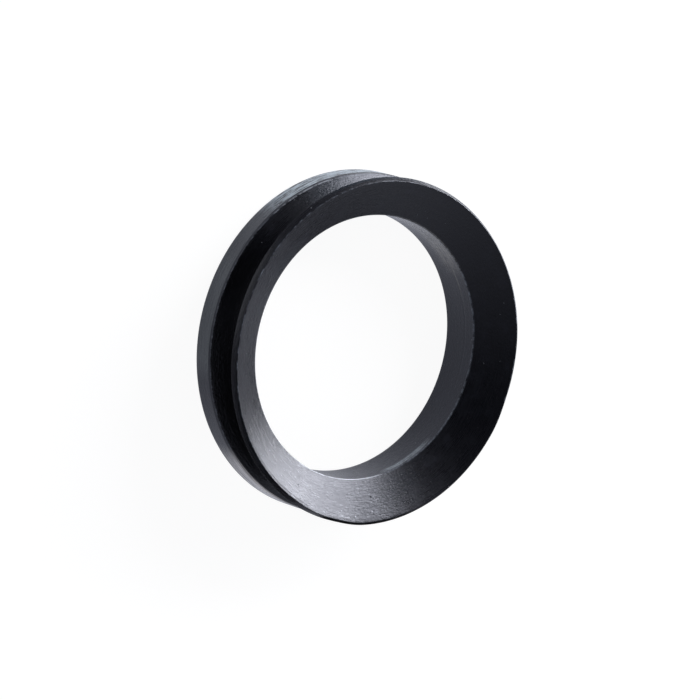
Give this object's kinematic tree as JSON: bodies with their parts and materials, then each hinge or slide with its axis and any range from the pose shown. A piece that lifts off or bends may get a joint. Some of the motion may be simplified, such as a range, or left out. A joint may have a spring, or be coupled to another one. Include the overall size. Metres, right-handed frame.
{
  "type": "sealing ring",
  "caption": "Moulded rubber ring seal: a stiff body grips a shaft, and a conical lip on a thin hinge flares out over a deep groove to run against a flat face.",
  "frame": {"origin": "centre of the back face, on the bore's axis", "axes": "+Z along the bore's axis, from the back face towards the lip"},
  "size_m": [0.038, 0.038, 0.0075],
  "materials": {
    "rubber": "satin moulded black rubber"
  },
  "bodies": {
    "root": {"sealing_ring": "rubber"}
  },
  "joints": []
}
